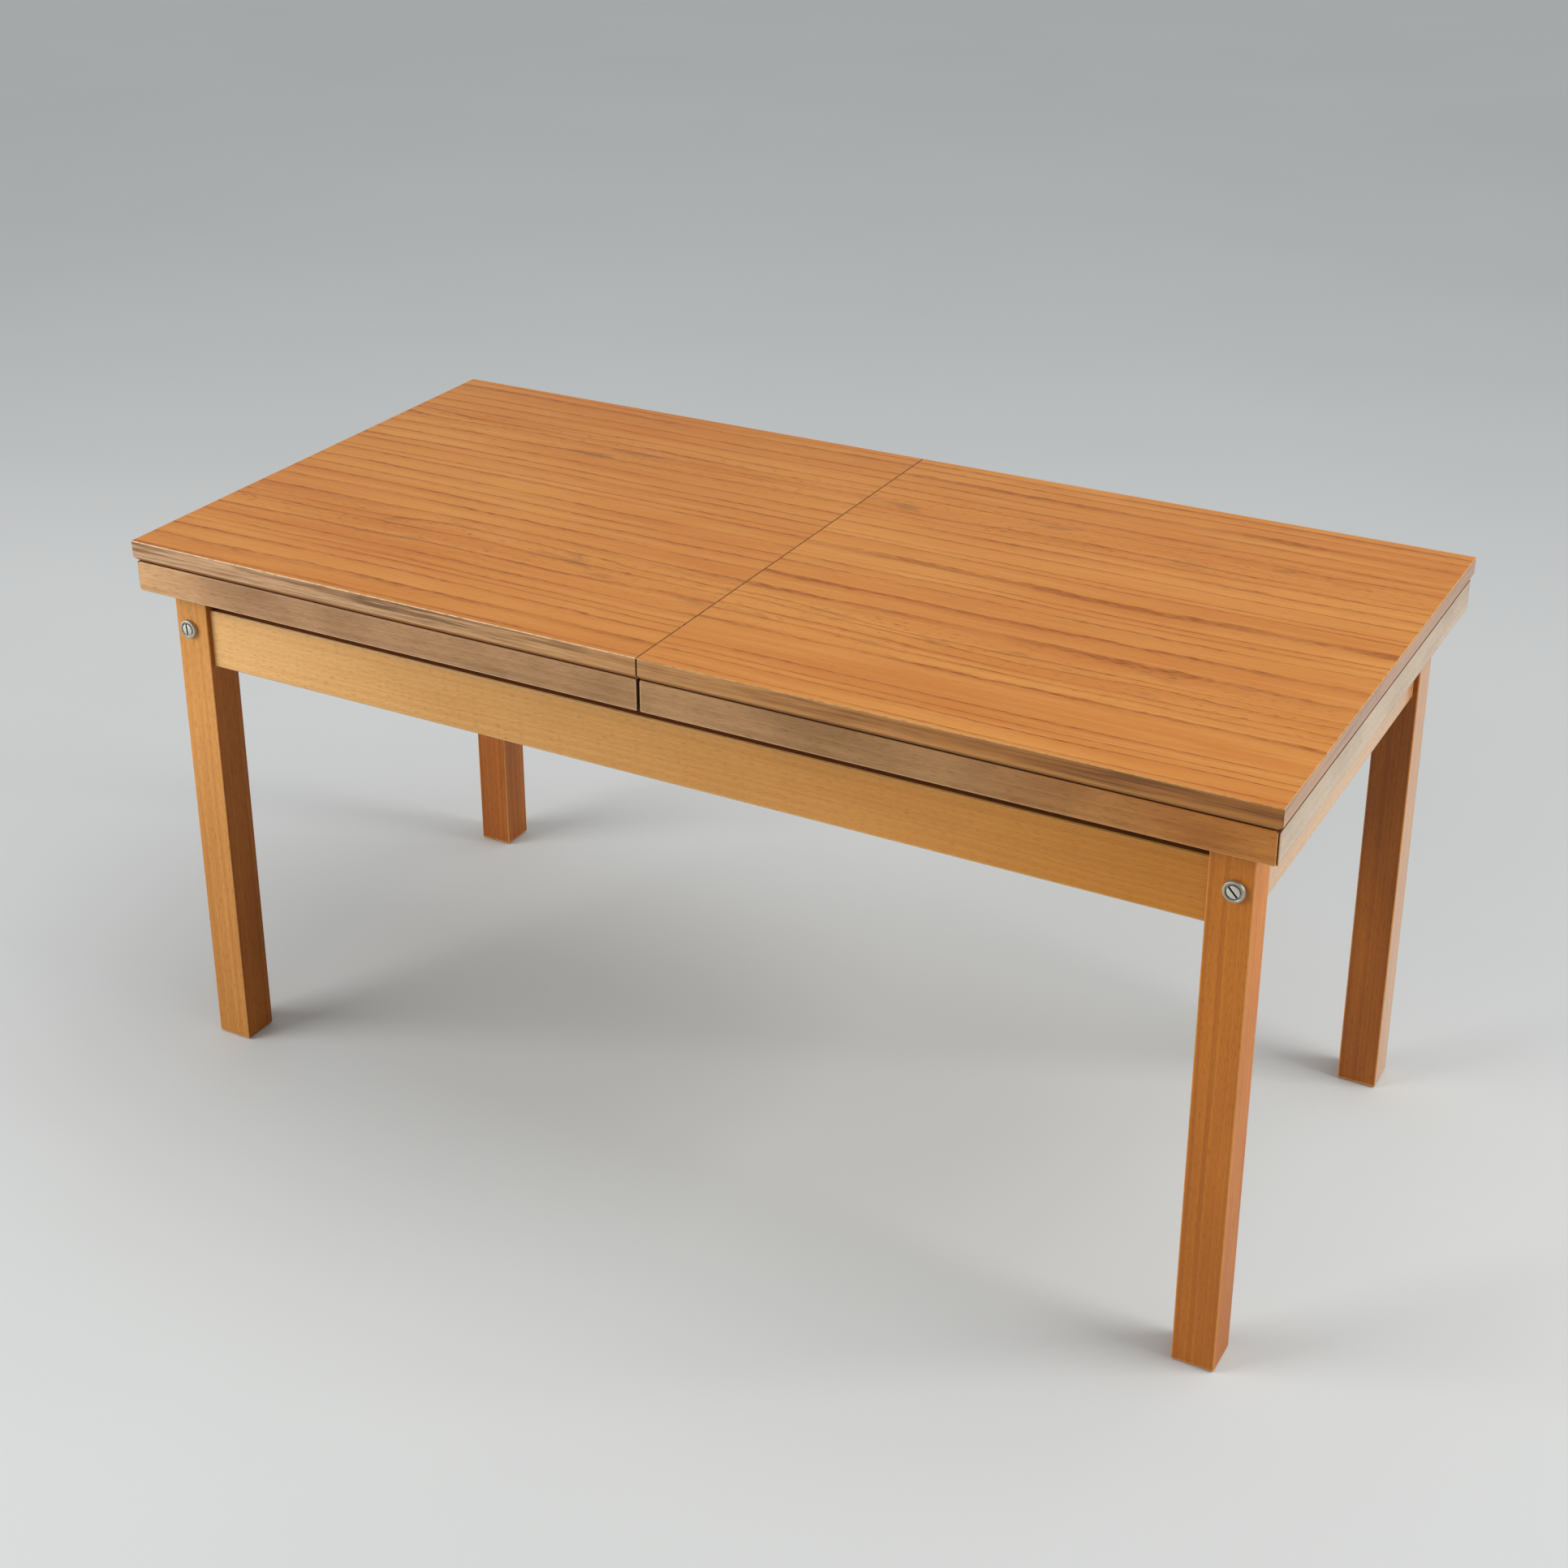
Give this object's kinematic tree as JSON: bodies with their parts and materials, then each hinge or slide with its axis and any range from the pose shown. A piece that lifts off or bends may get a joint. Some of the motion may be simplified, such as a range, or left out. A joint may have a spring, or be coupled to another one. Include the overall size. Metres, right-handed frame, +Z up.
{
  "type": "convertible coffee dining table",
  "caption": "Low rectangular wooden table on square legs whose split top rises on a hidden scissor lift and slides apart over a stored insert leaf.",
  "frame": {"origin": "on the floor, under the middle of the table", "axes": "+X along the length of the top, +Y from the front to the back, +Z up"},
  "size_m": [1.1, 0.548, 0.54],
  "materials": {
    "stained_beech": "satin stain lacquer",
    "teak_lipping": "satin stain lacquer",
    "teak_laminate": "semi-gloss printed laminate",
    "chipboard": "raw",
    "plain_beech": "raw, planed",
    "nickel_steel": "dull nickel plate",
    "zinc_steel": "zinc plate",
    "nylon": "natural",
    "felt": "pressed felt"
  },
  "bodies": {
    "base": {"leg_front_left": "stained_beech", "leg_rear_left": "stained_beech", "leg_front_right": "stained_beech", "leg_rear_right": "stained_beech", "felt_buttons": "felt", "apron_front": "stained_beech", "apron_rear": "stained_beech", "end_rail_left": "stained_beech", "end_rail_right": "stained_beech", "joint_dowels": "plain_beech", "leg_bolts": "nickel_steel", "bolt_washers": "nickel_steel", "barrel_nuts": "zinc_steel", "lower_pivot_block_front": "zinc_steel", "lower_track_front": "zinc_steel", "lower_pivot_block_rear": "zinc_steel", "lower_track_rear": "zinc_steel", "lower_screws": "zinc_steel"},
    "outer_arms": {"outer_arm_front": "zinc_steel", "outer_arm_rear": "zinc_steel", "lower_pivot_shaft": "zinc_steel", "upper_glide_shaft": "zinc_steel", "upper_glides": "nylon", "centre_studs": "zinc_steel"},
    "inner_arms": {"inner_arm_front": "zinc_steel", "inner_arm_rear": "zinc_steel", "upper_pivot_shaft": "zinc_steel", "lower_glide_shaft": "zinc_steel", "lower_glides": "nylon"},
    "carrier": {"guide_rail_front": "plain_beech", "guide_rail_rear": "plain_beech", "slide_stops": "zinc_steel", "upper_pivot_block_front": "zinc_steel", "upper_track_front": "zinc_steel", "upper_pivot_block_rear": "zinc_steel", "upper_track_rear": "zinc_steel", "carrier_screws": "zinc_steel", "carrier_slats": "plain_beech", "insert_leaf": "chipboard", "insert_laminate": "teak_laminate", "insert_dowels": "plain_beech"},
    "left_top": {"skirt_left_front": "stained_beech", "skirt_left_rear": "stained_beech", "skirt_left_end": "stained_beech", "runner_left_front": "plain_beech", "runner_left_rear": "plain_beech", "panel_left": "chipboard", "seam_dowels": "plain_beech", "lipping_left": "teak_lipping", "laminate_left": "teak_laminate", "top_screws_left": "zinc_steel"},
    "right_top": {"skirt_right_front": "stained_beech", "skirt_right_rear": "stained_beech", "skirt_right_end": "stained_beech", "runner_right_front": "plain_beech", "runner_right_rear": "plain_beech", "panel_right": "chipboard", "lipping_right": "teak_lipping", "laminate_right": "teak_laminate", "top_screws_right": "zinc_steel"}
  },
  "joints": [
    {"name": "lift", "type": "hinge", "parent": "base", "child": "outer_arms", "pos_m": [-0.28, 0, 0.424], "axis": [0, -1, 0], "range_deg": [0, 19.01]},
    {"name": "scissor", "type": "hinge", "parent": "outer_arms", "child": "inner_arms", "pos_m": [-0.00063, 0, 0.44275], "axis": [0, -1, 0], "range_deg": [-38.05, 0.02]},
    {"name": "carrier_level", "type": "hinge", "parent": "inner_arms", "child": "carrier", "pos_m": [-0.28, 0, 0.4615], "axis": [0, -1, 0], "range_deg": [-0.02, 19.03]},
    {"name": "left_slide", "type": "slide", "parent": "carrier", "child": "left_top", "axis": [-1, 0, 0], "range_m": [0, 0.1758]},
    {"name": "right_slide", "type": "slide", "parent": "carrier", "child": "right_top", "axis": [1, 0, 0], "range_m": [0, 0.1758]}
  ],
  "couplings": [
    {"joint": "scissor", "follows": "lift", "ratio": -2},
    {"joint": "carrier_level", "follows": "lift", "ratio": 1}
  ]
}
